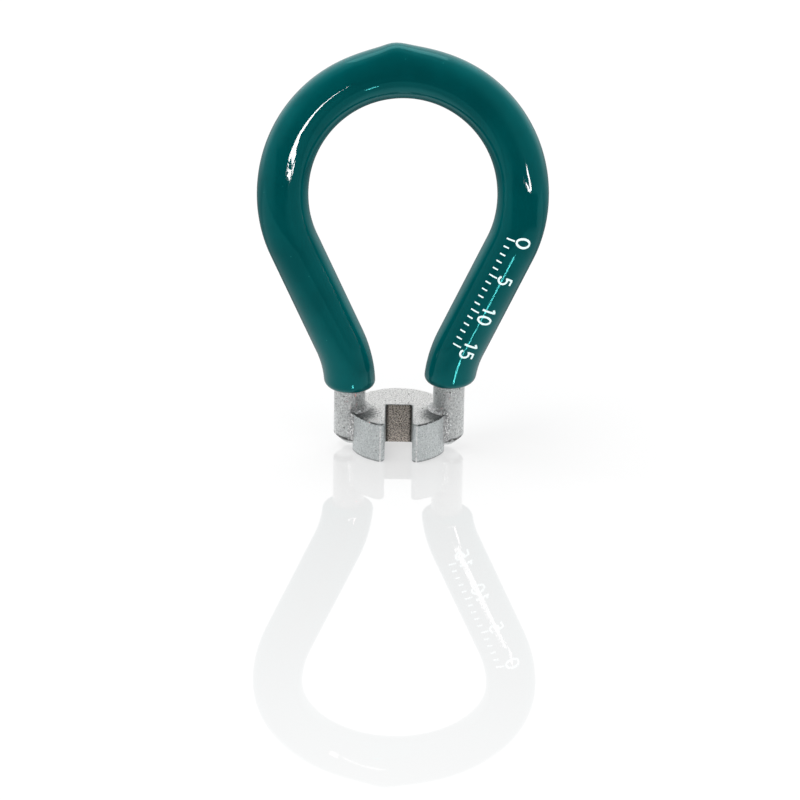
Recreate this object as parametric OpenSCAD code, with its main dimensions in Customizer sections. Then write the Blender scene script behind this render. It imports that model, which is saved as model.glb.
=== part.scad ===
// Spoke wrench for bicycle wheels, in millimetres.
// A round steel head with a slot for the spoke nipple is brazed between the two
// ends of one bent wire, and a dipped vinyl coat on the wire is the grip.
// The head stands on Z = 0 with its axis along Z, and its slot opens towards -Y.

/* [Head] */
// Diameter of the round head
head_d = 11.8; // [10:0.1:15]
// Thickness of the head
head_h = 5; // [3.5:0.1:6.5]
// Width of the slot that takes the spoke nipple
slot_w = 3.3; // [2.7:0.05:4]
// Distance from the head's axis to the slot's back wall
slot_back = 0.7; // [0:0.1:2]
// Rounding of the slot's inner corners
slot_corner_r = 0.3; // [0.1:0.05:0.6]
// Rounding of the prong edges at the slot's mouth
mouth_r = 0.6; // [0.2:0.05:1]
// Rounding of the head's upper and lower rims
rim_r = 0.2; // [0.1:0.05:0.4]

/* [Wire] */
// Diameter of the handle wire
wire_d = 3.8; // [3:0.1:4.6]
// How deep each wire end sits in the head's side
wire_seat = 1.8; // [1.2:0.1:2.2]
// Height of the wire's ends above the head's lower face
wire_lift = 0.4; // [0.2:0.1:1.5]
// Width of the blunt taper around the wire's ends
taper_w = 1.2; // [0.2:0.1:1.4]
// Height of that taper
taper_h = 1; // [0.2:0.1:1.4]
// Height at which the upright wire ends start to spread
neck_h = 7.4; // [6.8:0.1:12]
// Bend radius where they spread, at the wire's centre line
neck_r = 15.2; // [10:0.1:20]
// Angle of each leg from upright
leg_angle = 24.5; // [18:0.5:30]
// Bend radius between each leg and the loop's top arc
side_r = 13.2; // [10:0.1:16]
// Radius of the loop's top arc, at the wire's centre line
loop_r = 14.4; // [12:0.1:20]
// Angle above the arc's centre at which the top arc starts and ends
loop_start = 11.5; // [5:0.5:20]
// How far the top arc leans back from upright
loop_lean = 22.2; // [10:0.1:30]

/* [Grip] */
// Thickness of the vinyl coat
coat_t = 1.2; // [0.6:0.05:1.6]
// Chamfer around the coat's lower edges
lip_chamfer = 0.7; // [0.2:0.05:1]
// Height of the coat's left edge above the start of the neck bend
coat_edge_left = 0.3; // [0:0.1:3]
// Height of the coat's right edge above the start of the neck bend
coat_edge_right = 1.1; // [0:0.1:3]
// How far the set drop stands up from the top of the coat
drop_h = 0.6; // [0.2:0.05:1]
// Width of the set drop at half the coat's depth
drop_w = 3.6; // [2.5:0.1:4.5]
// Width of the set drop's tip
drop_tip = 1; // [0.5:0.1:1.5]
// Distance of the set drop from the middle of the loop, to the left
drop_offset = 1.25; // [0:0.05:3]

/* [Braze] */
// Thickness of the braze film between the wire and its groove in the head
film_t = 0.15; // [0.12:0.01:0.25]
// Width of the braze fillets in the corners between wire and head
fillet_w = 0.5; // [0.3:0.05:1]
// Width and height of the braze bead around the wire, above the head
bead = 0.6; // [0.3:0.05:0.9]

/* [Hidden] */
$fn = 96;

// Gap left between two pieces that are bonded face to face
bond_gap = 0.02;
// How far a cutting shape runs past the face that it cuts
cut = 1;
// The bends are a hair thinner than what they join, and run on into it by this angle
bend_thinning = 0.01;
bend_overlap = 1;
// Angle below the neck bend's start at which the coat begins, before its edge is cut level
coat_run_out = 2;

head_r = head_d / 2;
wire_r = wire_d / 2;
coat_r = wire_r + coat_t;
groove_r = wire_r + film_t;
wire_x = head_r - wire_seat + wire_r;
lip = min(lip_chamfer, coat_t - bond_gap);

// The wire's centre line on the right side. The legs lie in the plane Y = 0.
leg_dir = [sin(leg_angle), 0, cos(leg_angle)];
neck_centre = [wire_x + neck_r, 0, neck_h];
neck_end = neck_centre + neck_r * [-cos(leg_angle), 0, sin(leg_angle)];

// The top arc lies in a plane that leans back, and loop_up points up in that plane.
loop_up = [0, sin(loop_lean), cos(loop_lean)];
loop_axis = [0, -cos(loop_lean), sin(loop_lean)];
arc_dir = [-sin(loop_start), 0, 0] + cos(loop_start) * loop_up;

// The side bend turns the leg's direction into the direction at the arc's start.
side_turn = acos(leg_dir * arc_dir);
side_reach = side_r * tan(side_turn / 2);
side_axis = cross(leg_dir, arc_dir) / sin(side_turn);
side_inward = cross(side_axis, leg_dir);
arc_start_x = loop_r * cos(loop_start);
leg_len = (arc_start_x - side_reach * (leg_dir.x + arc_dir.x) - neck_end.x) / leg_dir.x;
leg_end = neck_end + leg_len * leg_dir;
side_centre = leg_end + side_r * side_inward;
arc_start = leg_end + side_reach * (leg_dir + arc_dir);
loop_centre = arc_start - [arc_start_x, 0, 0] - loop_r * sin(loop_start) * loop_up;

// Puts children at a point, with their X, Y and Z along three square directions
module place(point, x, y, z) {
    multmatrix([
        [x.x, y.x, z.x, point.x],
        [x.y, y.y, z.y, point.y],
        [x.z, y.z, z.z, point.z],
        [0, 0, 0, 1]
    ]) children();
}

module both_sides() {
    children();
    mirror([1, 0, 0]) children();
}

// Sweeps a disc around part of a circle, from a little before its start to a little past its end
module bend(path_r, angle, disc_r) {
    rotate(-bend_overlap) rotate_extrude(angle = angle + 2 * bend_overlap)
        translate([path_r, 0]) circle(disc_r - bend_thinning);
}

// The right neck bend from one angle up to the leg
module neck_bend(from, disc_r) {
    place(neck_centre, [-1, 0, 0], [0, 0, 1], [0, 1, 0])
        rotate(from) bend(neck_r, leg_angle - from, disc_r);
}

// The right leg and the bend above it
module leg_and_side(disc_r) {
    place(neck_end, [leg_dir.z, 0, -leg_dir.x], [0, 1, 0], leg_dir)
        cylinder(h = leg_len, r = disc_r);
    place(side_centre, -side_inward, leg_dir, side_axis)
        bend(side_r, side_turn, disc_r);
}

module top_arc(disc_r) {
    place(loop_centre, [1, 0, 0], loop_up, loop_axis)
        rotate(loop_start) rotate_extrude(angle = 180 - 2 * loop_start)
            translate([loop_r, 0]) circle(disc_r);
}

// One upright end of the wire, tapered where it stops beside the head
module wire_end(disc_r) {
    translate([wire_x, 0, 0]) rotate_extrude()
        polygon([
            [0, wire_lift],
            [disc_r - taper_w, wire_lift],
            [disc_r, wire_lift + taper_h],
            [disc_r, neck_h],
            [0, neck_h]
        ]);
}

// The whole bent wire, at a given radius
module bent_wire(disc_r) {
    both_sides() {
        wire_end(disc_r);
        neck_bend(0, disc_r);
        leg_and_side(disc_r);
    }
    top_arc(disc_r);
}

// Head

// Outline of one corner to cut off, so that the prong turns round at the mouth
module mouth_corner() {
    centre_x = slot_w / 2 + mouth_r;
    centre_y = -sqrt(pow(head_r - mouth_r, 2) - pow(centre_x, 2));
    rim_point = [centre_x, centre_y] * head_r / (head_r - mouth_r);
    difference() {
        polygon([
            [slot_w / 2 - cut, centre_y],
            [centre_x, centre_y],
            rim_point * (1 + cut / head_r),
            [slot_w / 2 - cut, -head_r - cut]
        ]);
        translate([centre_x, centre_y]) circle(mouth_r);
    }
}

module slot_outline() {
    inner_w = slot_w - 2 * slot_corner_r;
    depth = slot_back + head_r + cut;
    translate([-slot_w / 2, slot_back - depth]) square([slot_w, depth - slot_corner_r]);
    translate([-inner_w / 2, slot_back - depth]) square([inner_w, depth]);
    for (side = [-1, 1])
        translate([side * inner_w / 2, slot_back - slot_corner_r]) circle(slot_corner_r);
}

module head_outline() {
    difference() {
        circle(head_r);
        slot_outline();
        both_sides() {
            mouth_corner();
            translate([wire_x, 0]) circle(groove_r);
        }
    }
}

// Half section of the full disc, with its two rims rounded
module disc_section() {
    square([head_r - rim_r, head_h]);
    translate([0, rim_r]) square([head_r, head_h - 2 * rim_r]);
    for (z = [rim_r, head_h - rim_r]) translate([head_r - rim_r, z]) circle(rim_r);
}

module wrench_head() {
    color([0.75, 0.76, 0.77])
        intersection() {
            linear_extrude(head_h) head_outline();
            rotate_extrude() disc_section();
        }
}

// Wire

module handle_wire() {
    color([0.7, 0.71, 0.72]) bent_wire(wire_r);
}

// Braze

// The corner between the head's rim and the wire, in plan. Its three points are
// the deep one, the one on the rim and the one on the wire.
module corner_fillet() {
    deep_x = (head_r * head_r - wire_r * wire_r + wire_x * wire_x) / (2 * wire_x);
    deep_y = sqrt(head_r * head_r - deep_x * deep_x);
    rim_angle = atan2(deep_y, deep_x) + fillet_w / head_r * 180 / PI;
    wire_angle = atan2(deep_y, deep_x - wire_x) - fillet_w / wire_r * 180 / PI;
    polygon([
        [deep_x, deep_y - film_t],
        (head_r + bond_gap) * [cos(rim_angle), sin(rim_angle)],
        [wire_x, 0] + (wire_r + bond_gap) * [cos(wire_angle), sin(wire_angle)]
    ]);
}

// The film in the groove and the fillets in front of it and behind it, in plan
module braze_section() {
    difference() {
        union() {
            intersection() {
                circle(head_r);
                translate([wire_x, 0]) circle(groove_r);
            }
            corner_fillet();
            mirror([0, 1]) corner_fillet();
        }
        translate([wire_x, 0]) circle(wire_r + bond_gap);
        difference() {
            circle(head_r + bond_gap);
            translate([wire_x, 0]) circle(groove_r - bond_gap);
        }
    }
}

// The bead that runs around the wire on top of the head
module braze_bead() {
    base = head_h + bond_gap;
    intersection() {
        translate([wire_x, 0, 0]) rotate_extrude()
            polygon([
                [wire_r + bond_gap, base],
                [wire_r + bead, base],
                [wire_r + bond_gap, base + bead]
            ]);
        cylinder(h = base + bead, r = head_r);
    }
}

module braze() {
    low = wire_lift + taper_h;
    color([0.78, 0.78, 0.77]) {
        translate([0, 0, low]) linear_extrude(head_h + bond_gap - low) braze_section();
        braze_bead();
    }
}

module right_braze() {
    braze();
}

module left_braze() {
    mirror([1, 0, 0]) braze();
}

// Grip

// What is cut away to level the coat's lower end, with a chamfer around its edge
module edge_cutter(edge) {
    middle_x = wire_x + neck_r * (1 - cos(asin((edge + lip / 2) / neck_r)));
    depth = edge + (neck_r + coat_r) * sin(coat_run_out + bend_overlap) + cut;
    translate([middle_x, 0, neck_h + edge])
        difference() {
            translate([0, 0, -depth]) cylinder(h = depth + cut + lip, r = coat_r + 2 * cut);
            cylinder(h = cut + lip, r1 = coat_r - lip, r2 = coat_r + cut);
        }
}

// The right side of the coat, filled, with its lower edge above the start of the neck bend
module coat_side(edge) {
    difference() {
        neck_bend(-coat_run_out, coat_r);
        edge_cutter(edge);
    }
    leg_and_side(coat_r);
}

// The drop that set at the lowest point while the dipped loop hung upside down
module drop() {
    along = 90 + asin(drop_offset / loop_r);
    top = loop_centre + loop_r * ([cos(along), 0, 0] + sin(along) * loop_up);
    translate(top + [0, 0, wire_r + coat_t / 2])
        cylinder(h = coat_t / 2 + drop_h, r1 = drop_w / 2, r2 = drop_tip / 2);
}

module vinyl_grip() {
    color([0.02, 0.36, 0.35])
        difference() {
            union() {
                coat_side(coat_edge_right);
                mirror([1, 0, 0]) coat_side(coat_edge_left);
                top_arc(coat_r);
                drop();
            }
            bent_wire(wire_r + bond_gap);
        }
}

wrench_head();
handle_wire();
left_braze();
right_braze();
vinyl_grip();
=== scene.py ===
"""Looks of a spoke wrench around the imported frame: visible pieces, materials, floor, light and camera."""
import math

import bpy
from mathutils import Matrix, Vector, noise

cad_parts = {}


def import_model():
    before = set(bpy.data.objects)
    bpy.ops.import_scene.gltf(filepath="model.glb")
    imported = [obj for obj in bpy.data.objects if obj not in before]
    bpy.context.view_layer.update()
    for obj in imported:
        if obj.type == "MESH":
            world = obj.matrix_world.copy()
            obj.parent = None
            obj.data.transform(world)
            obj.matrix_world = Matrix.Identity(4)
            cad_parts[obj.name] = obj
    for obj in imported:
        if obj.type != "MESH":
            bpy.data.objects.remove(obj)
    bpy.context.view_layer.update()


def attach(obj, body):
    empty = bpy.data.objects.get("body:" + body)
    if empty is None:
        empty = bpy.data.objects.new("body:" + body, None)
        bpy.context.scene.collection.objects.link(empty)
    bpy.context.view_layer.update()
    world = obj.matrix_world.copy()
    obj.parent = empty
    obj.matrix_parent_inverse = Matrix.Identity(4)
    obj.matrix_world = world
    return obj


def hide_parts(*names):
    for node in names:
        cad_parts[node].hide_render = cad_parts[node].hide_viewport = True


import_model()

# Sizes in millimetres, as in the part's source. A mesh is scaled to metres when it is made.
MM = 0.001
HEAD_R = 5.9
HEAD_H = 5.0
SLOT_W = 3.3
SLOT_BACK = 0.7
SLOT_CORNER_R = 0.3
MOUTH_R = 0.6
RIM_R = 0.2
WIRE_R = 1.9
WIRE_SEAT = 1.8
WIRE_LIFT = 0.4
TAPER_W = 1.2
TAPER_H = 1.0
NECK_H = 7.4
NECK_R = 15.2
LEG_ANGLE = math.radians(24.5)
SIDE_R = 13.2
LOOP_R = 14.4
LOOP_START = math.radians(11.5)
LOOP_LEAN = math.radians(22.2)
COAT_R = WIRE_R + 1.2
COAT_EDGE_RIGHT = NECK_H + 1.1
COAT_EDGE_LEFT = NECK_H + 0.3
DROP_H = 0.6
DROP_OFFSET = 1.25
FILM_T = 0.15
BOND_GAP = 0.02
WIRE_X = HEAD_R - WIRE_SEAT + WIRE_R
GROOVE_R = WIRE_R + FILM_T

# How finely the wire and its coat are divided
PATH_STEP = 0.45
COAT_SIDES = 72
WIRE_SIDES = 56
BORE_RING_STEP = 6


def smooth_step(low, high, value):
    """0 below low, 1 above high, and a smooth rise between them."""
    t = min(max((value - low) / (high - low), 0.0), 1.0)
    return t * t * (3 - 2 * t)


def add_piece(name, points, faces, material, slot, *nodes):
    """Makes a mesh from points in millimetres, which rides on the body and stands for the given nodes."""
    mesh = bpy.data.meshes.new(name)
    mesh.from_pydata([Vector(p) * MM for p in points], [], faces)
    mesh.polygons.foreach_set("use_smooth", [True] * len(mesh.polygons))
    mesh.materials.append(material)
    mesh.validate()
    piece = bpy.data.objects.new(name, mesh)
    bpy.context.scene.collection.objects.link(piece)
    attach(piece, "root")
    if nodes:
        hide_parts(*nodes)
    return piece


def all_points(rings):
    """The points of all rings, one ring after another."""
    return [p for ring in rings for p in ring]


def ring_numbers(rings, first=0):
    """Point numbers of rings that are stored one after another, from a first number on."""
    size = len(rings[0])
    return [list(range(first + i * size, first + (i + 1) * size)) for i in range(len(rings))]


def bridge(ring_a, ring_b):
    """Quads between two rings of point numbers."""
    n = len(ring_a)
    return [(ring_a[i], ring_a[(i + 1) % n], ring_b[(i + 1) % n], ring_b[i]) for i in range(n)]


def capped_skin(rings, first=0):
    """Faces over a row of rings: a cap on each end, then the quads between neighbours."""
    numbers = ring_numbers(rings, first)
    faces = [tuple(numbers[0]), tuple(reversed(numbers[-1]))]
    for a, b in zip(numbers, numbers[1:]):
        faces += bridge(b, a)
    return faces


def flipped(faces):
    """The same faces, turned to face the other way."""
    return [tuple(reversed(face)) for face in faces]


def joined(runs):
    """Several runs of points as one. Each run starts where the one before it ends."""
    points = runs[0]
    for run in runs[1:]:
        points = points + run[1:]
    return points


# Centre line of the wire

def line_points(start, along, length):
    """Points on a straight run."""
    steps = max(2, math.ceil(length / PATH_STEP))
    return [start + along * (length * i / steps) for i in range(steps + 1)]


def arc_points(centre, x_axis, y_axis, radius, first, last):
    """Points on an arc between two angles in the plane of two directions."""
    steps = max(2, math.ceil(radius * abs(last - first) / PATH_STEP))
    angles = [first + (last - first) * i / steps for i in range(steps + 1)]
    return [centre + (x_axis * math.cos(a) + y_axis * math.sin(a)) * radius for a in angles]


def right_half_points():
    """The right half of the centre line, from the wire's end up to the middle of the loop."""
    x_axis = Vector((1, 0, 0))
    z_axis = Vector((0, 0, 1))
    leg_dir = Vector((math.sin(LEG_ANGLE), 0, math.cos(LEG_ANGLE)))
    neck_centre = Vector((WIRE_X + NECK_R, 0, NECK_H))
    neck_end = neck_centre + Vector((-math.cos(LEG_ANGLE), 0, math.sin(LEG_ANGLE))) * NECK_R
    loop_up = Vector((0, math.sin(LOOP_LEAN), math.cos(LOOP_LEAN)))
    arc_dir = loop_up * math.cos(LOOP_START) - x_axis * math.sin(LOOP_START)
    side_turn = math.acos(leg_dir.dot(arc_dir))
    side_reach = SIDE_R * math.tan(side_turn / 2)
    side_axis = leg_dir.cross(arc_dir).normalized()
    side_inward = side_axis.cross(leg_dir)
    arc_start_x = LOOP_R * math.cos(LOOP_START)
    leg_len = (arc_start_x - side_reach * (leg_dir.x + arc_dir.x) - neck_end.x) / leg_dir.x
    leg_end = neck_end + leg_dir * leg_len
    side_centre = leg_end + side_inward * SIDE_R
    arc_start = leg_end + (leg_dir + arc_dir) * side_reach
    loop_centre = arc_start - x_axis * arc_start_x - loop_up * (LOOP_R * math.sin(LOOP_START))
    return joined([
        line_points(Vector((WIRE_X, 0, WIRE_LIFT)), z_axis, NECK_H - WIRE_LIFT),
        arc_points(neck_centre, -x_axis, z_axis, NECK_R, 0, LEG_ANGLE),
        line_points(neck_end, leg_dir, leg_len),
        arc_points(side_centre, -side_inward, leg_dir, SIDE_R, 0, side_turn),
        arc_points(loop_centre, x_axis, loop_up, LOOP_R, LOOP_START, math.pi / 2),
    ])


def wire_frames():
    """Stations from the wire's right end to its left end: a point, the direction and two square to it."""
    right = right_half_points()
    points = right + [Vector((-p.x, p.y, p.z)) for p in reversed(right[:-1])]
    last = len(points) - 1
    across = Vector((1, 0, 0))
    stations = []
    for i, point in enumerate(points):
        along = (points[min(i + 1, last)] - points[max(i - 1, 0)]).normalized()
        across = (across - along * across.dot(along)).normalized()
        stations.append((point, along, across, along.cross(across)))
    return stations


STATIONS = wire_frames()


def station_at(height, side):
    """The station where the right (side 1) or left (side -1) end of the wire passes a height."""
    order = STATIONS if side > 0 else list(reversed(STATIONS))
    height = max(height, order[0][0].z)
    for low, high in zip(order, order[1:]):
        if low[0].z <= height < high[0].z:
            share = (height - low[0].z) / (high[0].z - low[0].z)
            return tuple(a.lerp(b, share) for a, b in zip(low, high))
    raise ValueError(height)


def ring_points(station, radius, sides, level_share=0.0):
    """Points around a station. A share of 1 slides them along the wire until they are level with it."""
    point, along, across, upward = station
    ring = []
    for i in range(sides):
        a = 2 * math.pi * i / sides
        p = point + (across * math.cos(a) + upward * math.sin(a)) * radius
        if level_share:
            p = p + along * (level_share * (point.z - p.z) / along.z)
        ring.append(p)
    return ring


# Vinyl grip

LIP_R = 0.95
LIP_STEPS = 8
LIP_HEM = 0.06
LEVEL_FADE = 6.0
LIP_CLEAR = 0.1
BORE_START = COAT_EDGE_RIGHT + 1
DROP_REACH_LEFT = 1.55
DROP_REACH_RIGHT = 1.9
DROP_CORE_SPREAD = (0.62, 1.3, 1.6)
DROP_FOOT_SPREAD = (1.35, 2.0, 2.4)


def lip_rings(edge, side):
    """Rings from the coat's level lower edge, beside the wire, up to its full width."""
    rings = [ring_points(station_at(edge + LIP_HEM, side), WIRE_R + BOND_GAP, COAT_SIDES, 1.0)]
    for i in range(LIP_STEPS + 1):
        turn = math.pi / 2 * i / LIP_STEPS
        height = edge + LIP_R * (1 - math.cos(turn))
        radius = COAT_R - LIP_R * (1 - math.sin(turn))
        rings.append(ring_points(station_at(height, side), radius, COAT_SIDES, 1.0))
    return rings


def bell(offset, reach, spread):
    """1 at the middle, falling off around it. The spread along x is in shares of the reach."""
    shares = (offset.x / (reach * spread[0]), offset.y / spread[1], offset.z / spread[2])
    return math.exp(-sum(share ** 2 for share in shares) / 2)


def drop_rise(p, peak):
    """How far the set drop lifts the coat at a point, by its distance from the drop's peak."""
    offset = p - peak
    reach = DROP_REACH_LEFT if offset.x < 0 else DROP_REACH_RIGHT
    return DROP_H / 2 * (bell(offset, reach, DROP_CORE_SPREAD) + bell(offset, reach, DROP_FOOT_SPREAD))


def outer_rings(peak):
    """Rings of the coat's outside between its lips, from level ones to ones square to the wire."""
    middle = len(STATIONS) // 2
    rings = []
    for i, station in enumerate(STATIONS):
        point = station[0]
        low = LIP_R + (COAT_EDGE_RIGHT if i <= middle else COAT_EDGE_LEFT)
        if point.z <= low + LIP_CLEAR:
            continue
        share = 1 - smooth_step(low, low + LEVEL_FADE, point.z)
        ring = ring_points(station, COAT_R, COAT_SIDES, share)
        rings.append([p + (p - point).normalized() * drop_rise(p, peak) for p in ring])
    return rings


def vinyl_grip(material):
    """The dipped coat: a tube with a bore for the wire, round lips and a set drop on its top."""
    top = max(STATIONS, key=lambda s: s[0].z)[0]
    peak = Vector((-DROP_OFFSET, top.y, top.z + COAT_R))
    bore = [ring_points(s, WIRE_R + BOND_GAP, COAT_SIDES) for s in STATIONS if s[0].z > BORE_START]
    rings = lip_rings(COAT_EDGE_RIGHT, 1) + outer_rings(peak) + lip_rings(COAT_EDGE_LEFT, -1)[::-1]
    rings += bore[::-BORE_RING_STEP]
    numbers = ring_numbers(rings)
    faces = []
    for a, b in zip(numbers, numbers[1:] + numbers[:1]):
        faces += bridge(b, a)
    return add_piece("grip_coat", all_points(rings), faces, material, "grip_vinyl", "vinyl_grip")


# Handle wire

END_ROUND = 0.2
END_SLANT = 0.15
END_CLEAR = 0.3


def end_profile():
    """Radius and height of the rings at the wire's tapered end, from its middle outwards."""
    flat_r = WIRE_R - TAPER_W
    top = WIRE_LIFT + TAPER_H
    rise = END_ROUND * TAPER_H / TAPER_W
    return [
        (0.4 * flat_r, WIRE_LIFT),
        (flat_r - END_ROUND, WIRE_LIFT),
        (flat_r, WIRE_LIFT + 0.25 * rise),
        (flat_r + END_ROUND, WIRE_LIFT + rise),
        (WIRE_R - END_ROUND, top - rise),
        (WIRE_R - 0.2 * END_ROUND, top),
        (WIRE_R, top + rise),
    ]


def end_rings(profile, side):
    """Rings of one wire end. The cut slants: it is lower towards the head than outside."""
    rings = []
    for radius, height in profile:
        ring = ring_points(station_at(height, side), radius, WIRE_SIDES)
        rings.append([p + Vector((0, 0, END_SLANT * (side * p.x - WIRE_X))) for p in ring])
    return rings


def handle_wire(material):
    """The bent wire with its two tapered ends."""
    profile = end_profile()
    start = profile[-1][1] + END_CLEAR
    middle = [ring_points(s, WIRE_R, WIRE_SIDES) for s in STATIONS if s[0].z > start]
    rings = end_rings(profile, 1) + middle + end_rings(profile, -1)[::-1]
    faces = capped_skin(rings)
    return add_piece("bent_wire", all_points(rings), faces, material, "wire_steel", "handle_wire")


# Wrench head

OUTLINE_STEP = 0.12
EDGE_STEPS = 5
EDGE_UNEVEN = 0.35
EDGE_WAVES = 1.3
WALL_STEPS = 12
CORNER_LIMIT = 0.5


def flat_arc(centre, radius, first, last):
    """Outline points on an arc between two angles."""
    steps = max(2, math.ceil(radius * abs(last - first) / OUTLINE_STEP))
    angles = [first + (last - first) * i / steps for i in range(steps + 1)]
    return [(centre[0] + radius * math.cos(a), centre[1] + radius * math.sin(a)) for a in angles]


def flat_line(start, end):
    """Outline points on a straight run."""
    steps = max(1, math.ceil(math.dist(start, end) / OUTLINE_STEP))
    return [
        (start[0] + (end[0] - start[0]) * i / steps, start[1] + (end[1] - start[1]) * i / steps)
        for i in range(steps + 1)
    ]


def groove_corner():
    """Where the groove for the right wire end meets the head's rim, behind the middle."""
    x = (HEAD_R ** 2 - GROOVE_R ** 2 + WIRE_X ** 2) / (2 * WIRE_X)
    return x, math.sqrt(HEAD_R ** 2 - x ** 2)


def head_outline():
    """The head seen from above, starting at the middle of the slot's back wall and going to the right."""
    half_w = SLOT_W / 2
    mouth_x = half_w + MOUTH_R
    mouth_y = -math.sqrt((HEAD_R - MOUTH_R) ** 2 - mouth_x ** 2)
    mouth_angle = math.atan2(mouth_y, mouth_x)
    corner_x, corner_y = groove_corner()
    corner_angle = math.atan2(corner_y, corner_x)
    groove_angle = math.atan2(corner_y, corner_x - WIRE_X)
    fillet_x = half_w - SLOT_CORNER_R
    fillet_y = SLOT_BACK - SLOT_CORNER_R
    right = joined([
        flat_line((0, SLOT_BACK), (fillet_x, SLOT_BACK)),
        flat_arc((fillet_x, fillet_y), SLOT_CORNER_R, math.pi / 2, 0),
        flat_line((half_w, fillet_y), (half_w, mouth_y)),
        flat_arc((mouth_x, mouth_y), MOUTH_R, math.pi, 2 * math.pi + mouth_angle),
        flat_arc((0, 0), HEAD_R, mouth_angle, -corner_angle),
        flat_arc((WIRE_X, 0), GROOVE_R, 2 * math.pi - groove_angle, groove_angle),
        flat_arc((0, 0), HEAD_R, corner_angle, math.pi / 2),
    ])
    left = [(-x, y) for x, y in reversed(right[1:-1])]
    return right + left


def inset_directions(outline):
    """For each outline point, the direction into the solid, longer at sharp corners."""
    n = len(outline)
    directions = []
    for i in range(n):
        before, here, after = (Vector(outline[j % n]) for j in (i - 1, i, i + 1))
        normal_in = Vector((-(here - before).y, (here - before).x)).normalized()
        normal_out = Vector((-(after - here).y, (after - here).x)).normalized()
        mean = (normal_in + normal_out).normalized()
        directions.append(mean / max(mean.dot(normal_in), CORNER_LIMIT))
    return directions


def edge_radius(point, z):
    """The rounding of the head's edges, uneven as on a part that was tumbled and plated."""
    return RIM_R * (1 + EDGE_UNEVEN * noise.noise(Vector((point[0], point[1], z)) * EDGE_WAVES))


def edge_rings(outline, inward, z, up):
    """Rings over a rounded edge, from the flat face at a height to the upright wall."""
    rings = []
    for step in range(EDGE_STEPS + 1):
        turn = math.pi / 2 * step / EDGE_STEPS
        ring = []
        for p, d in zip(outline, inward):
            r = edge_radius(p, z)
            inset = r * (1 - math.sin(turn))
            ring.append((p[0] + d.x * inset, p[1] + d.y * inset, z + up * r * (1 - math.cos(turn))))
        rings.append(ring)
    return rings


def wall_rings(low, high):
    """Rings on the upright wall between two rings."""
    rings = []
    for step in range(1, WALL_STEPS):
        share = step / WALL_STEPS
        rings.append([(x, y, za + (zb - za) * share) for (x, y, za), (_, _, zb) in zip(low, high)])
    return rings


def wrench_head(material):
    """The slotted head with its rounded edges."""
    outline = head_outline()
    inward = inset_directions(outline)
    lower = edge_rings(outline, inward, 0.0, 1)
    upper = edge_rings(outline, inward, HEAD_H, -1)[::-1]
    rings = lower + wall_rings(lower[-1], upper[0]) + upper
    faces = flipped(capped_skin(rings))
    piece = add_piece("slotted_head", all_points(rings), faces, material, "head_steel", "wrench_head")
    normals = piece.modifiers.new("flat_faces_stay_flat", "WEIGHTED_NORMAL")
    normals.keep_sharp = True
    return piece


# Braze

FILLET_W = 0.55
BEAD = 0.65
BEAD_LEAST = 0.1
BRAZE_ACROSS = 9
VALLEY_ROWS = 26
BEAD_ROWS = 44
BEAD_REACH = math.radians(84)
LUMP = 0.05
HIDDEN_DEPTH = 0.3
SHARP_ANGLE = math.radians(60)


def rim_distance(angle):
    """How far the head's flat top reaches from the wire's centre, short of its rounded rim."""
    across = WIRE_X * math.cos(angle)
    inside = across ** 2 - WIRE_X ** 2 + (HEAD_R - RIM_R / 2) ** 2
    return -across + math.sqrt(max(inside, 0.0))


def valley_row(z, front):
    """Where the braze meets head and wire in the corner beside the wire, and the corner itself."""
    corner_x = (HEAD_R ** 2 - WIRE_R ** 2 + WIRE_X ** 2) / (2 * WIRE_X)
    corner_y = math.sqrt(HEAD_R ** 2 - corner_x ** 2)
    on_rim = math.atan2(corner_y, corner_x) + FILLET_W / HEAD_R
    on_wire = math.atan2(corner_y, corner_x - WIRE_X) - FILLET_W / WIRE_R
    return (
        Vector((HEAD_R * math.cos(on_rim), front * HEAD_R * math.sin(on_rim), z)),
        Vector((WIRE_X + WIRE_R * math.cos(on_wire), front * WIRE_R * math.sin(on_wire), z)),
        Vector((corner_x, front * corner_y, z)),
    )


def bead_row(angle):
    """The same three points on top of the head, in a direction from the wire's centre."""
    aim = Vector((math.cos(angle), math.sin(angle), 0))
    corner = Vector((WIRE_X, 0, HEAD_H)) + aim * WIRE_R
    width = min(BEAD, max(rim_distance(angle) - WIRE_R, BEAD_LEAST))
    return corner + aim * width, corner + Vector((0, 0, BEAD)), corner


def braze_rows():
    """Rows up the front corner, round the wire on top of the head and down the back corner."""
    low = WIRE_LIFT + TAPER_H
    high = HEAD_H - RIM_R
    heights = [low + (high - low) * i / (VALLEY_ROWS - 1) for i in range(VALLEY_ROWS)]
    angles = [math.pi + BEAD_REACH * (1 - 2 * i / (BEAD_ROWS - 1)) for i in range(BEAD_ROWS)]
    rows = [valley_row(z, -1) for z in heights]
    rows += [bead_row(a) for a in angles]
    rows += [valley_row(z, 1) for z in reversed(heights)]
    return rows


def lump(p, seed):
    """How far the braze stands out at a point, as metal that flowed and froze."""
    return LUMP * (0.4 + noise.noise(p * 1.5 + seed) + 0.5 * noise.noise(p * 3.7 + seed))


def braze_section(on_head, on_wire, corner, seed):
    """Points across the braze from head to wire, then one hidden behind the corner."""
    outward = (on_head + on_wire) / 2 - corner
    section = []
    for i in range(BRAZE_ACROSS):
        t = i / (BRAZE_ACROSS - 1)
        p = on_head * (1 - t) ** 2 + corner * (2 * t * (1 - t)) + on_wire * t ** 2
        swell = 4 * t * (1 - t) * lump(p, seed)
        section.append(p + outward.normalized() * swell)
    return section + [corner - outward * HIDDEN_DEPTH]


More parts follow.
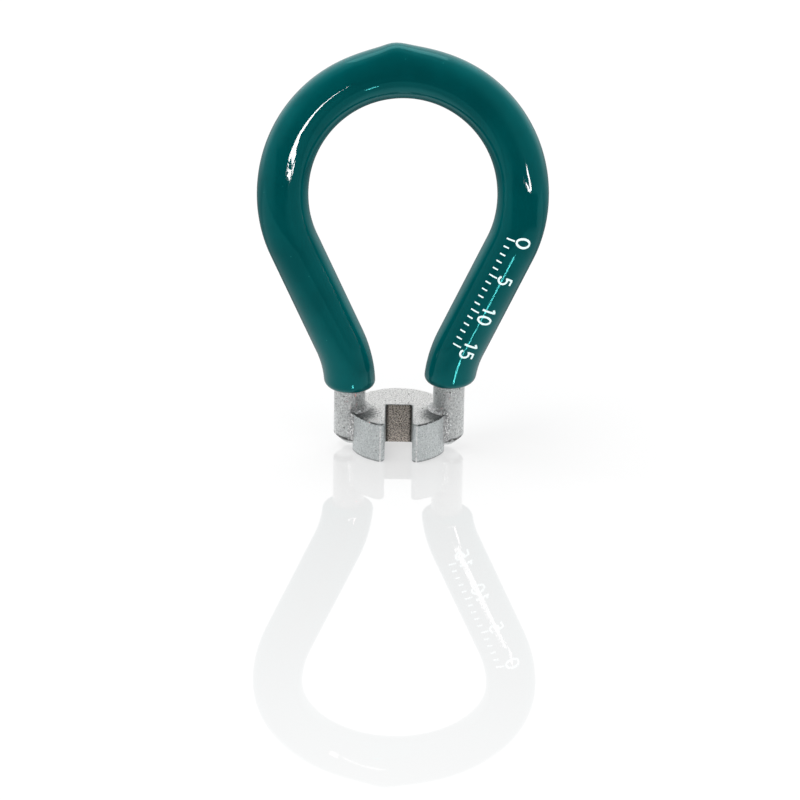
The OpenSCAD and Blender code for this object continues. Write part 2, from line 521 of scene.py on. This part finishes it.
def braze(name, side, material, node):
    """The braze on the right (side 1) or left (side -1) wire end."""
    seed = Vector((0, 3.7 * side, 1.9))
    sections = [braze_section(*row, seed) for row in braze_rows()]
    rings = [[(side * p.x, p.y, p.z) for p in section] for section in sections]
    faces = capped_skin(rings)
    if side < 0:
        faces = flipped(faces)
    piece = add_piece(name, all_points(rings), faces, material, "braze_metal", node)
    piece.data.set_sharp_from_angle(angle=SHARP_ANGLE)
    return piece


# Printed scale

PRINT_START = 29.0
PRINT_TICKS = 15
NUMBER_EVERY = 5
PRINT_BASE = -1.35
TICK_SHORT = 0.7
TICK_LONG = 1.05
TICK_W = 0.18
DIGIT_BASE = -0.05
DIGIT_H = 1.65
DIGIT_W = 0.95
DIGIT_PITCH = DIGIT_W * 1.35
STROKE_W = 0.25
INK_T = 0.03
STROKE_STEP = 0.12
OVAL_STEPS = 18


def path_lengths():
    """The length of the centre line from its right end to each station."""
    lengths = [0.0]
    for (a, *_), (b, *_) in zip(STATIONS, STATIONS[1:]):
        lengths.append(lengths[-1] + (b - a).length)
    return lengths


PATH_LENGTHS = path_lengths()


def on_grip(along, across, lift):
    """A point on the right leg's front, by its distance along and across the wire and above the coat."""
    i = next(k for k, length in enumerate(PATH_LENGTHS) if length > along) - 1
    share = (along - PATH_LENGTHS[i]) / (PATH_LENGTHS[i + 1] - PATH_LENGTHS[i])
    point, _, outward, backward = (a.lerp(b, share) for a, b in zip(STATIONS[i], STATIONS[i + 1]))
    angle = across / COAT_R
    return point + (outward * math.sin(angle) - backward * math.cos(angle)) * (COAT_R + lift)


def oval(centre, half_w, half_h, first, last):
    """Points on an oval between two angles in degrees."""
    turns = [math.radians(first + (last - first) * i / OVAL_STEPS) for i in range(OVAL_STEPS + 1)]
    return [(centre[0] + half_w * math.cos(a), centre[1] + half_h * math.sin(a)) for a in turns]


def digit_strokes(digit):
    """Strokes of a plain 0, 1 or 5 in a box from (0, 0) to (DIGIT_W, DIGIT_H)."""
    w, h = DIGIT_W, DIGIT_H
    if digit == "0":
        return [oval((w / 2, h / 2), w / 2, h / 2, 90, 450)]
    if digit == "1":
        return [[(0.15 * w, 0.78 * h), (0.55 * w, h), (0.55 * w, 0)]]
    bowl = oval((0.45 * w, 0.32 * h), 0.52 * w, 0.32 * h, 125, -140)
    return [[(0.92 * w, h), (0.18 * w, h), (0.1 * w, 0.52 * h)] + bowl]


def number_strokes(number, middle):
    """Strokes of a whole number, centred on a distance along the scale."""
    start = middle - (DIGIT_PITCH * (len(number) - 1) + DIGIT_W) / 2
    strokes = []
    for i, digit in enumerate(number):
        for stroke in digit_strokes(digit):
            strokes.append([(start + i * DIGIT_PITCH + x, DIGIT_BASE + y) for x, y in stroke])
    return strokes


def scale_strokes():
    """Every stroke of the scale with its width: ticks a millimetre apart, and a number at every fifth."""
    strokes = []
    for tick in range(PRINT_TICKS + 1):
        numbered = tick % NUMBER_EVERY == 0
        height = TICK_LONG if numbered else TICK_SHORT
        strokes.append(([(tick, PRINT_BASE), (tick, PRINT_BASE + height)], TICK_W))
        if numbered:
            strokes += [(s, STROKE_W) for s in number_strokes(str(tick), tick)]
    return strokes


def divided(stroke):
    """The same stroke in steps short enough to follow the round coat."""
    points = [Vector(stroke[0])]
    for a, b in zip(stroke, stroke[1:]):
        steps = max(1, math.ceil(math.dist(a, b) / STROKE_STEP))
        points += [Vector(a).lerp(Vector(b), (i + 1) / steps) for i in range(steps)]
    return points


def ribbon(stroke, width):
    """Left and right edges of a stroke of a given width."""
    stroke = divided(stroke)
    last = len(stroke) - 1
    edges = []
    for i, here in enumerate(stroke):
        run = stroke[min(i + 1, last)] - stroke[max(i - 1, 0)]
        aside = Vector((-run.y, run.x)).normalized() * (width / 2)
        edges.append((here + aside, here - aside))
    return edges


def printed_scale(material):
    """Plain millimetre scale in white ink, read down the right leg."""
    points, faces = [], []
    for stroke, width in scale_strokes():
        rings = []
        for left, right in ribbon(stroke, width):
            corners = ((left, INK_T), (right, INK_T), (right, -INK_T), (left, -INK_T))
            rings.append([on_grip(PRINT_START - x, y, lift) for (x, y), lift in corners])
        faces += capped_skin(rings, len(points))
        points += all_points(rings)
    piece = add_piece("printed_scale", points, faces, material, "print_ink")
    piece.data.polygons.foreach_set("use_smooth", [False] * len(piece.data.polygons))
    return piece


# Nodes that the materials share

# Socket numbers of a node that mixes colours
MIX_SHARE, MIX_A, MIX_B, MIX_RESULT = 0, 6, 7, 2
SPECK_CORE = 0.65
NEAR_CORE = 0.4


def new_material(name):
    """A material, its node tree and its surface shader."""
    material = bpy.data.materials.new(name)
    material.use_nodes = True
    tree = material.node_tree
    return material, tree, tree.nodes["Principled BSDF"]


def feed(tree, socket, value):
    """Links a socket to another node's output, or sets it to a plain value."""
    if isinstance(value, bpy.types.NodeSocket):
        tree.links.new(value, socket)
    else:
        socket.default_value = value


def add_node(tree, kind, **settings):
    """A node with its settings and its inputs given by name."""
    node = tree.nodes.new("ShaderNode" + kind)
    for key, value in settings.items():
        target = key.replace("_", " ")
        if hasattr(node, key) and target not in node.inputs:
            setattr(node, key, value)
        else:
            feed(tree, node.inputs[target], value)
    return node


def position_mm(tree):
    """Object position in millimetres."""
    where = add_node(tree, "TexCoord")
    scaled = add_node(tree, "VectorMath", operation="SCALE", Scale=1 / MM)
    tree.links.new(where.outputs["Object"], scaled.inputs[0])
    return scaled.outputs["Vector"]


def noise_of(tree, vector, scale, detail=2.0, roughness=0.5):
    """Noise with a grain of about 1 / scale millimetres."""
    node = add_node(tree, "TexNoise", Vector=vector, Scale=scale, Detail=detail, Roughness=roughness)
    return node.outputs["Fac"]


def mapped(tree, value, low, high, to_low=0, to_high=1):
    """A value's place between low and high, carried over to another range and held inside it."""
    node = add_node(tree, "MapRange", Value=value, From_Min=low, From_Max=high,
                    To_Min=to_low, To_Max=to_high)
    return node.outputs["Result"]


def mixed(tree, share, a, b):
    """Colour between a and b. Each is a colour or another node's output."""
    node = add_node(tree, "Mix", data_type="RGBA")
    for socket, value in ((MIX_SHARE, share), (MIX_A, a), (MIX_B, b)):
        feed(tree, node.inputs[socket], value)
    return node.outputs[MIX_RESULT]


def maths(tree, operation, a, b=0.0):
    """One sum with two values, or with one where the operation takes one."""
    node = add_node(tree, "Math", operation=operation)
    for socket, value in zip(node.inputs, (a, b)):
        feed(tree, socket, value)
    return node.outputs[0]


def product(tree, first, *others):
    """All the values multiplied."""
    for other in others:
        first = maths(tree, "MULTIPLY", first, other)
    return first


def bump_of(tree, height, depth_mm, normal=None):
    """A relief of a given depth, on top of another one where its normal is given."""
    node = add_node(tree, "Bump", Height=height, Distance=depth_mm * MM)
    if normal:
        tree.links.new(normal, node.inputs["Normal"])
    return node.outputs["Normal"]


def specks(tree, vector, scale, size, share):
    """1 in small round specks. Scale is in cells per millimetre, and share is how many cells have one."""
    cells = add_node(tree, "TexVoronoi", Vector=vector, Scale=scale)
    inside = mapped(tree, cells.outputs["Distance"], size, size * SPECK_CORE)
    chosen = add_node(tree, "SeparateColor", Color=cells.outputs["Color"]).outputs["Red"]
    return product(tree, inside, maths(tree, "LESS_THAN", chosen, share))


def near(tree, value, middle, reach):
    """1 at a value and close to it, falling to 0 at a distance from it."""
    away = maths(tree, "ABSOLUTE", maths(tree, "SUBTRACT", value, middle))
    return mapped(tree, away, reach, reach * NEAR_CORE)


def between(tree, value, low, high, edge):
    """1 between two values, falling to 0 over an edge outside them."""
    return product(tree, mapped(tree, value, low - edge, low), mapped(tree, value, high + edge, high))


def flat_distance(tree, x, y):
    """How far a point lies from the middle, seen from above."""
    flat = add_node(tree, "CombineXYZ", X=x, Y=y)
    length = add_node(tree, "VectorMath", operation="LENGTH")
    tree.links.new(flat.outputs[0], length.inputs[0])
    return length.outputs["Value"]


# Vinyl

VINYL_DARK = (0.0, 0.09, 0.097, 1)
VINYL_LIGHT = (0.0, 0.107, 0.114, 1)
VINYL_DUST = (0.02, 0.24, 0.24, 1)
DUST_SHOWS = 0.5
GLOSS_RED = 0.12
GLOSS = 0.6
GLOSS_TURNED_AWAY = 0.15
SCUFF_GLOSS = 0.03
SKIN_DEPTH = 0.006
SANDY_DEPTH = 0.004
SANDY_TOP = 38.0
SANDY_FADE = 5

# Scuffed patches beside the gleams on the loop, in millimetres
SCUFF_RAGGED = 0.15
SCUFF_FADE = 1
SCUFF_TOP = 37.2
RIGHT_SCUFF_LOW = 30
RIGHT_SCUFF_STEP = 34.0
RIGHT_SCUFF_STEP_W = 1.2
RIGHT_SCUFF_INNER = 13.2
RIGHT_SCUFF_OUTER_LOW = 14.9
RIGHT_SCUFF_OUTER_HIGH = 14.4
LEFT_SCUFF_LOW = 33
LEFT_SCUFF_OUTER = -15.1
LEFT_SCUFF_INNER = -13.85


def right_scuff(tree, across, height):
    """The patch inside the right gleam. It narrows as it rises, and is wider below a step."""
    slant = mapped(tree, height, RIGHT_SCUFF_STEP, SCUFF_TOP, RIGHT_SCUFF_OUTER_LOW, RIGHT_SCUFF_OUTER_HIGH)
    step = mapped(tree, height, RIGHT_SCUFF_STEP - 0.3, RIGHT_SCUFF_STEP, RIGHT_SCUFF_STEP_W, 0)
    beyond = maths(tree, "SUBTRACT", across, maths(tree, "ADD", slant, step))
    inner = mapped(tree, across, RIGHT_SCUFF_INNER - 0.2, RIGHT_SCUFF_INNER)
    outer = mapped(tree, beyond, 0.05, -0.05)
    return product(tree, inner, outer, between(tree, height, RIGHT_SCUFF_LOW, SCUFF_TOP - 0.5, SCUFF_FADE))


def left_scuff(tree, across, height):
    """The patch outside the left gleam."""
    sides = between(tree, across, LEFT_SCUFF_OUTER, LEFT_SCUFF_INNER, 0.1)
    return product(tree, sides, between(tree, height, LEFT_SCUFF_LOW, SCUFF_TOP + 0.8, SCUFF_FADE))


def scuffs(tree, place, speckle):
    """Share of lost gloss in two scuffed patches on the loop's front, one on each side."""
    ragged = mapped(tree, speckle, 0.3, 0.7, -SCUFF_RAGGED, SCUFF_RAGGED)
    across = maths(tree, "ADD", place.outputs["X"], ragged)
    height = place.outputs["Z"]
    return maths(tree, "MAXIMUM", right_scuff(tree, across, height), left_scuff(tree, across, height))


def vinyl_colour(tree, where):
    """Deep teal with slight clouds and a few specks of dust."""
    clouds = mapped(tree, noise_of(tree, where, 0.22, 3.0), 0.35, 0.65)
    dust = specks(tree, where, 0.9, 0.09, 0.12)
    colour = mixed(tree, clouds, VINYL_DARK, VINYL_LIGHT)
    return mixed(tree, product(tree, dust, DUST_SHOWS), colour, VINYL_DUST)


def vinyl_material():
    """Glossy dipped vinyl with a skin that is sandy lower down. It is less glossy in scuffs and edge-on."""
    material, tree, surface = new_material("dipped_vinyl")
    where = position_mm(tree)
    place = add_node(tree, "SeparateXYZ", Vector=where)
    speckle = noise_of(tree, where, 4.5, 2.0)
    tree.links.new(vinyl_colour(tree, where), surface.inputs["Base Color"])
    turned = add_node(tree, "LayerWeight", Blend=0.5)
    shine = mapped(tree, turned.outputs["Facing"], 0.45, 0.8, GLOSS, GLOSS_TURNED_AWAY)
    gloss = product(tree, shine, mapped(tree, scuffs(tree, place, speckle), 0, 1, 1, SCUFF_GLOSS))
    tree.links.new(gloss, surface.inputs["Specular IOR Level"])
    smooth = mapped(tree, noise_of(tree, where, 0.9), 0.3, 0.7, 0.02, 0.04)
    tree.links.new(smooth, surface.inputs["Roughness"])
    lower = mapped(tree, place.outputs["Z"], SANDY_TOP, SANDY_TOP - SANDY_FADE)
    patches = mapped(tree, noise_of(tree, where, 0.4, 1.0), 0.4, 0.6, 0.3, 1)
    grain = product(tree, speckle, product(tree, lower, patches))
    skin = bump_of(tree, noise_of(tree, where, 0.6, 1.0), SKIN_DEPTH)
    tree.links.new(bump_of(tree, grain, SANDY_DEPTH, skin), surface.inputs["Normal"])
    surface.inputs["Specular Tint"].default_value = (GLOSS_RED, 1, 1, 1)
    return material


# Steel and braze

WIRE_DARK = (0.56, 0.58, 0.58, 1)
WIRE_LIGHT = (0.98, 1.0, 1.0, 1)
WIRE_PIT = (0.1, 0.1, 0.1, 1)
TAPER_SHADE = (0.04, 0.04, 0.04, 1)
BRAZE_DARK = (0.36, 0.37, 0.375, 1)
BRAZE_LIGHT = (1.0, 1.0, 1.0, 1)
BRAZE_PIT_AND_SHADE = (0.14, 0.145, 0.145, 1)
HEAD_SIDE_SHADED_DARK = (0.58, 0.62, 0.625, 1)
HEAD_SIDE_SHADED_LIGHT = (0.86, 0.9, 0.905, 1)
HEAD_TOP_LIT_DARK = (0.6, 0.6, 0.595, 1)
HEAD_TOP_LIT_LIGHT = (1.0, 1.0, 0.985, 1)
HEAD_PIT = (0.08, 0.08, 0.08, 1)
HEAD_SHADE = (0.1, 0.11, 0.11, 1)
RIM_DARK_REFLECTION = (0.06, 0.06, 0.06, 1)
FOOT_SHADE = (0.15, 0.155, 0.16, 1)
PRONG_HIGHLIGHT = (1, 1, 1, 1)
SAND_DARK = (0.14, 0.12, 0.105, 1)
SAND_LIGHT = (0.92, 0.82, 0.74, 1)
SLOT_CORNER_SHADE = (0.03, 0.03, 0.028, 1)
STEEL_SMOOTH = 0.26
STEEL_ROUGH = 0.42
PIT_ROUGH = 0.2
PIT_DEPTH = 0.8
WIRE_RELIEF = 0.06
BRAZE_RELIEF = 0.11
HEAD_RELIEF = 0.05


def steel_grain(tree, where):
    """Pits and grain of tumbled, plated steel: the share of pits and the height of the grain."""
    pits = specks(tree, where, 1.8, 0.26, 0.16)
    fine = specks(tree, where, 4.2, 0.42, 0.3)
    both = maths(tree, "MAXIMUM", pits, product(tree, fine, 0.35))
    grain = mapped(tree, noise_of(tree, where, 4.6, 3.0, 0.7), 0.36, 0.64)
    return both, grain


def finish_steel(tree, surface, colour, grain, pits, depth_mm):
    """Links a colour and a relief to a metal surface, rougher in its pits."""
    tree.links.new(colour, surface.inputs["Base Color"])
    spread = mapped(tree, grain, 0, 1, STEEL_SMOOTH, STEEL_ROUGH)
    rough = maths(tree, "ADD", spread, product(tree, pits, PIT_ROUGH))
    tree.links.new(rough, surface.inputs["Roughness"])
    height = maths(tree, "SUBTRACT", grain, product(tree, pits, PIT_DEPTH))
    tree.links.new(bump_of(tree, height, depth_mm), surface.inputs["Normal"])
    surface.inputs["Metallic"].default_value = 1.0


def wire_material():
    """Satin plating on the round wire, with bright and dark grain, and painted shade in a dark line at the
    top of each tapered end.
    """
    material, tree, surface = new_material("plated_wire")
    where = position_mm(tree)
    pits, grain = steel_grain(tree, where)
    colour = mixed(tree, grain, WIRE_DARK, WIRE_LIGHT)
    colour = mixed(tree, product(tree, pits, 0.7), colour, WIRE_PIT)
    place = add_node(tree, "SeparateXYZ", Vector=where)
    outward = maths(tree, "SUBTRACT", maths(tree, "ABSOLUTE", place.outputs["X"]), WIRE_X)
    level = maths(tree, "SUBTRACT", place.outputs["Z"], product(tree, outward, END_SLANT))
    # Painted shade: a dark broken line along the top of each tapered end of the wire.
    taper_shade = near(tree, level, WIRE_LIFT + TAPER_H - 0.1, 0.4)
    broken = mapped(tree, noise_of(tree, where, 1.6, 2.0), 0.32, 0.42, 0, 0.95)
    colour = mixed(tree, product(tree, taper_shade, broken), colour, TAPER_SHADE)
    finish_steel(tree, surface, colour, grain, pits, WIRE_RELIEF)
    return material


def braze_material():
    """Braze with the same plating, sparkling, with painted shade in dark patches on top of the head."""
    material, tree, surface = new_material("braze_metal")
    where = position_mm(tree)
    pits, grain = steel_grain(tree, where)
    height = add_node(tree, "SeparateXYZ", Vector=where).outputs["Z"]
    # Painted shade: dark patches on the braze where it lies on the head's top. The same dark colour serves
    # the pits.
    on_top = mapped(tree, height, HEAD_H - 0.6, HEAD_H, 0.05, 0.2)
    braze_shade = product(tree, on_top, mapped(tree, noise_of(tree, where, 1.4, 2.0), 0.42, 0.56))
    colour = mixed(tree, grain, BRAZE_DARK, BRAZE_LIGHT)
    colour = mixed(tree, maths(tree, "MAXIMUM", pits, braze_shade), colour, BRAZE_PIT_AND_SHADE)
    finish_steel(tree, surface, colour, grain, pits, BRAZE_RELIEF)
    return material


def soot_by_wire(tree, where, place):
    """Painted shade on the head's top, dark in the front corner by each wire end and in specks further
    away.
    """
    corner_x, corner_y = groove_corner()
    aside = maths(tree, "SUBTRACT", maths(tree, "ABSOLUTE", place.outputs["X"]), corner_x)
    ahead = maths(tree, "ADD", place.outputs["Y"], corner_y)
    close = mapped(tree, flat_distance(tree, aside, ahead), 4.2, 1.7)
    speckle = noise_of(tree, where, 3.0, 2.0)
    return mapped(tree, maths(tree, "ADD", close, speckle), 0.85, 1.3, 0, 0.92)


def worn_edge(tree, where, place):
    """A painted highlight: a bright dotted line down each prong, where it starts to turn into the slot's
    mouth.
    """
    aside = maths(tree, "ABSOLUTE", place.outputs["X"])
    line = near(tree, aside, SLOT_W / 2 + MOUTH_R - 0.05, 0.13)
    in_front = mapped(tree, place.outputs["Y"], -4.0, -4.5)
    dots = mapped(tree, noise_of(tree, where, 3.2, 1.0), 0.4, 0.52, 0.1, 1)
    return product(tree, line, in_front, dots)


def rim_line(tree, where, place, facing):
    """A painted dark reflection: a dark broken line where the head's round rim turns over into its top."""
    radius = flat_distance(tree, place.outputs["X"], place.outputs["Y"])
    outer = mapped(tree, radius, HEAD_R - 0.5, HEAD_R - 0.2)
    turning = near(tree, facing.outputs["Z"], 0.55, 0.4)
    broken = mapped(tree, noise_of(tree, where, 1.5, 2.0), 0.42, 0.54, 0, 0.9)
    return product(tree, outer, turning, broken)


def with_raw_slot(tree, colour, where, place, facing):
    """The head's colour with raw, sandy steel on the slot's back wall, and painted shade in its corners."""
    sandy = mapped(tree, noise_of(tree, where, 7.0, 1.0, 0.6), 0.36, 0.64)
    sand = mixed(tree, sandy, SAND_DARK, SAND_LIGHT)
    faces_out = mapped(tree, facing.outputs["Y"], -0.6, -0.8)
    raw = product(tree, faces_out, mapped(tree, place.outputs["Y"], 0.2, 0.4))
    aside = maths(tree, "ABSOLUTE", place.outputs["X"])
    # Painted shade in the corners of the slot's back wall.
    corner = product(tree, raw, mapped(tree, aside, 1.15, 1.45, 0, 0.9))
    return mixed(tree, corner, mixed(tree, raw, colour, sand), SLOT_CORNER_SHADE)


def head_material():
    """Satin plating on the head, painted lighter on its top than its sides, with painted shade by the wire
    and round its foot, a painted dark reflection on the rim, a painted highlight down each prong, and a raw
    slot with painted shade in its corners.
    """
    material, tree, surface = new_material("plated_head")
    where = position_mm(tree)
    pits, grain = steel_grain(tree, where)
    facing = add_node(tree, "SeparateXYZ", Vector=add_node(tree, "NewGeometry").outputs["Normal"])
    place = add_node(tree, "SeparateXYZ", Vector=where)
    on_top = mapped(tree, facing.outputs["Z"], 0.6, 0.9)
    pits = product(tree, pits, mapped(tree, on_top, 0, 1, 0.4, 1))
    # Painted light: the same plating is lighter on the head's top than on its sides.
    sides = mixed(tree, grain, HEAD_SIDE_SHADED_DARK, HEAD_SIDE_SHADED_LIGHT)
    top = mixed(tree, grain, HEAD_TOP_LIT_DARK, HEAD_TOP_LIT_LIGHT)
    colour = mixed(tree, on_top, sides, top)
    colour = mixed(tree, pits, colour, HEAD_PIT)
    # Painted shade on the head's top by each wire end.
    colour = mixed(tree, product(tree, on_top, soot_by_wire(tree, where, place)), colour, HEAD_SHADE)
    # Painted dark reflection along the head's rim.
    colour = mixed(tree, rim_line(tree, where, place, facing), colour, RIM_DARK_REFLECTION)
    # Painted shade: the head darkens towards the floor at its foot.
    foot_shade = mapped(tree, place.outputs["Z"], 0.12, 0.32, 0.7, 0)
    colour = mixed(tree, foot_shade, colour, FOOT_SHADE)
    # Painted highlight down each prong by the slot.
    colour = mixed(tree, worn_edge(tree, where, place), colour, PRONG_HIGHLIGHT)
    colour = with_raw_slot(tree, colour, where, place, facing)
    finish_steel(tree, surface, colour, grain, pits, HEAD_RELIEF)
    return material


# Ink

INK_FULL = (0.8, 0.97, 0.97, 1)
INK_THIN = (0.5, 0.75, 0.74, 1)


def ink_material():
    """White screen-print ink, a little thin in places."""
    material, tree, surface = new_material("white_ink")
    thin = mapped(tree, noise_of(tree, position_mm(tree), 3.0, 2.0), 0.35, 0.5, 1, 0)
    colour = mixed(tree, product(tree, thin, 0.35), INK_FULL, INK_THIN)
    tree.links.new(colour, surface.inputs["Base Color"])
    tree.links.new(mapped(tree, thin, 0, 1, 0.35, 0.5), surface.inputs["Roughness"])
    return material


# Floor

FLOOR_HALF = 1.5
FLOOR_PALE = (0.34, 0.34, 0.34, 1)
FLOOR_DIM = (0.02, 0.02, 0.02, 1)
FLOOR_ROUGH = 0.012
FLOOR_GLOW = 0.65
# FLOOR_GLOW_NEAR is the floor's glow by the head and behind it, lowered as painted shade.
FLOOR_GLOW_NEAR = 0.555
GLOW_WHERE_DIM = 0.1

# Where the floor changes, in millimetres from the head's middle: in front it is below 0, behind above 0
FRONT_TO_HEAD = (-90, -8)
DIM_AROUND = (26, 44)
DIM_FAR_IN_FRONT = (-104, -110)
DIM_BEHIND = (8, 25)
PALER_FAR_BEHIND = (95, 112)
PALER_HALF_WIDTH = 40


def floor_shade(tree, place):
    """How dim the floor is in gloss: dark behind and far in front, paler round the head and far behind."""
    ahead = place.outputs["Y"]
    around = mapped(tree, flat_distance(tree, place.outputs["X"], ahead), *DIM_AROUND, 0, 0.6)
    in_front = mapped(tree, ahead, *DIM_FAR_IN_FRONT)
    behind = mapped(tree, ahead, *DIM_BEHIND)
    shade = maths(tree, "MAXIMUM", around, maths(tree, "MAXIMUM", in_front, behind))
    in_middle = near(tree, place.outputs["X"], 0, PALER_HALF_WIDTH)
    far = product(tree, in_middle, mapped(tree, ahead, *PALER_FAR_BEHIND))
    return product(tree, shade, mapped(tree, far, 0, 1, 1, 0.4))


def floor_material():
    """Glossy white acrylic that is lit from below. It is dimmer in gloss than to the camera."""
    material, tree, surface = new_material("white_acrylic")
    ray = add_node(tree, "LightPath")
    place = add_node(tree, "SeparateXYZ", Vector=position_mm(tree))
    dim = product(tree, floor_shade(tree, place), ray.outputs["Is Glossy Ray"])
    tree.links.new(mixed(tree, dim, FLOOR_PALE, FLOOR_DIM), surface.inputs["Base Color"])
    surface.inputs["Roughness"].default_value = FLOOR_ROUGH
    mirror = mapped(tree, place.outputs["Y"], *FRONT_TO_HEAD, 0.42, 1.05)
    tree.links.new(mirror, surface.inputs["Specular IOR Level"])
    surface.inputs["Emission Color"].default_value = (1, 1, 1, 1)
    # Painted shade: the floor's glow falls from far in front towards the head, and stays low behind it.
    glow = mapped(tree, place.outputs["Y"], *FRONT_TO_HEAD, FLOOR_GLOW, FLOOR_GLOW_NEAR)
    lit = product(tree, glow, mapped(tree, dim, 0, 1, 1, GLOW_WHERE_DIM))
    tree.links.new(lit, surface.inputs["Emission Strength"])
    return material


def floor():
    """A wide square of floor under the object."""
    corners = [(x * FLOOR_HALF, y * FLOOR_HALF, 0) for x, y in ((-1, -1), (1, -1), (1, 1), (-1, 1))]
    mesh = bpy.data.meshes.new("floor")
    mesh.from_pydata(corners, [], [(0, 1, 2, 3)])
    mesh.materials.append(floor_material())
    piece = bpy.data.objects.new("floor", mesh)
    bpy.context.scene.collection.objects.link(piece)
    return piece


# Light

LAMP_AIM = Vector((0, 0, 0.03))
FRONT_LIGHT = 0.04
SIDE_LIGHT = 0.4
BACK_LIGHT = 1.1
SLIT_MIDDLE = -0.165
SLIT_REACH = 0.62


def area_light(name, azimuth, elevation, distance, size, power, twist=0.0, colour=(1, 1, 1)):
    """A rectangle of light that faces the object from a direction in degrees, as views count them."""
    turn = math.radians(azimuth)
    rise = math.radians(elevation)
    away = Vector((math.sin(turn) * math.cos(rise), -math.cos(turn) * math.cos(rise), math.sin(rise)))
    place = LAMP_AIM + distance * away
    data = bpy.data.lights.new(name, "AREA")
    data.shape = "RECTANGLE"
    data.size, data.size_y = size
    data.energy = power
    data.color = colour
    lamp = bpy.data.objects.new(name, data)
    facing = (LAMP_AIM - place).to_track_quat("-Z", "Y").to_matrix()
    facing = facing @ Matrix.Rotation(math.radians(twist), 3, "Z")
    lamp.matrix_world = Matrix.Translation(place) @ facing.to_4x4()
    lamp.visible_camera = False
    bpy.context.scene.collection.objects.link(lamp)
    return lamp


def light_only(lamp, *pieces):
    """Lets a lamp light nothing but the given pieces."""
    lit = bpy.data.collections.new("lit_by_" + lamp.name)
    for piece in pieces:
        lit.objects.link(piece)
    lamp.light_linking.receiver_collection = lit


def world():
    """Soft light all round, bright behind and dark in a slit in front. To the camera it is white."""
    sky = bpy.data.worlds.new("studio")
    sky.use_nodes = True
    bpy.context.scene.world = sky
    tree = sky.node_tree
    direction = add_node(tree, "SeparateXYZ", Vector=add_node(tree, "TexCoord").outputs["Generated"])
    forward = mapped(tree, direction.outputs["Y"], 0.15, -0.1)
    slit = product(tree, near(tree, direction.outputs["X"], SLIT_MIDDLE, SLIT_REACH), forward)
    around = mapped(tree, slit, 0, 1, SIDE_LIGHT, FRONT_LIGHT)
    rise = add_node(tree, "MapRange", Value=direction.outputs["Y"], interpolation_type="SMOOTHSTEP",
                    From_Min=-0.1, From_Max=0.85, To_Max=BACK_LIGHT)
    light = maths(tree, "MAXIMUM", around, rise.outputs["Result"])
    by_camera = add_node(tree, "LightPath").outputs["Is Camera Ray"]
    seen = add_node(tree, "Mix", Factor=by_camera, A=light, B=1.0)
    background = tree.nodes["Background"]
    background.inputs["Color"].default_value = (1, 1, 1, 1)
    tree.links.new(seen.outputs["Result"], background.inputs["Strength"])


def lights(grip, ink, ground, brazes):
    """Two softboxes, lamps for gleams on vinyl and braze, a fill for the print and two weak side lamps.

    The gleam lamps are red, because the vinyl's gloss takes most red away: the gleams come out white.
    """
    overhead = area_light("overhead", -80, 76, 1.1, size=(0.9, 0.6), power=7.8)
    backlight = area_light("backlight", 180, 45, 0.7, size=(0.8, 0.4), power=3.5)
    red = (1, GLOSS_RED, GLOSS_RED)
    key = area_light("key", 21.5, 14.9, 1.0, size=(0.31, 0.05), power=10, twist=-17, colour=red)
    strip = area_light("strip", 8.3, 18.4, 1.0, size=(0.155, 0.085), power=8, twist=-17, colour=red)
    side = area_light("side", 33.5, 18.5, 0.6, size=(0.055, 0.17), power=6.5, twist=28, colour=red)
    bounce = area_light("bounce", 15.5, 21.4, 0.451, size=(0.05, 0.04), power=0.6)
    rim = area_light("rim", 185, 57, 0.6, size=(0.45, 0.22), power=0.35)
    fill = area_light("fill", 10, 30, 0.8, size=(0.5, 0.5), power=5)
    spark = area_light("spark", -20, 70, 0.6, size=(0.16, 0.16), power=3)
    left_flank = area_light("left_flank", -120, 15, 0.7, size=(0.3, 0.3), power=1.1)
    right_flank = area_light("right_flank", 120, 15, 0.7, size=(0.3, 0.3), power=2.3)
    for lamp in (overhead, backlight, left_flank, right_flank):
        lamp.visible_glossy = False
    for lamp in (key, strip, side, bounce, rim):
        lamp.visible_diffuse = False
    for lamp in (backlight, key, strip, side, rim, left_flank, right_flank):
        light_only(lamp, grip)
    light_only(bounce, ground)
    light_only(fill, ink)
    light_only(spark, *brazes)


# Camera

CAMERA_ELEVATION = math.radians(23.828)
CAMERA_DISTANCE = 0.82235
CAMERA_AIM = Vector((0.10, 2.19, 4.96)) * MM
CAMERA_ROLL = math.radians(1.03)


def camera():
    """A long lens in front of the object and above it, at the photograph's angle."""
    data = bpy.data.cameras.new("camera")
    data.sensor_width = 36.0
    data.lens = 304.2
    data.clip_start = 0.01
    data.clip_end = 10
    body = bpy.data.objects.new("camera", data)
    place = Vector((0, -math.cos(CAMERA_ELEVATION), math.sin(CAMERA_ELEVATION))) * CAMERA_DISTANCE
    turn = (CAMERA_AIM - place).to_track_quat("-Z", "Y").to_matrix() @ Matrix.Rotation(CAMERA_ROLL, 3, "Z")
    body.matrix_world = Matrix.Translation(place) @ turn.to_4x4()
    bpy.context.scene.collection.objects.link(body)
    bpy.context.scene.camera = body


camera()
world()
grip_coat = vinyl_grip(vinyl_material())
scale_print = printed_scale(ink_material())
ground = floor()
handle_wire(wire_material())
wrench_head(head_material())
solder = braze_material()
brazes = [braze("braze_right", 1, solder, "right_braze"), braze("braze_left", -1, solder, "left_braze")]
lights(grip_coat, scale_print, ground, brazes)
bpy.context.scene.view_settings.view_transform = "Standard"
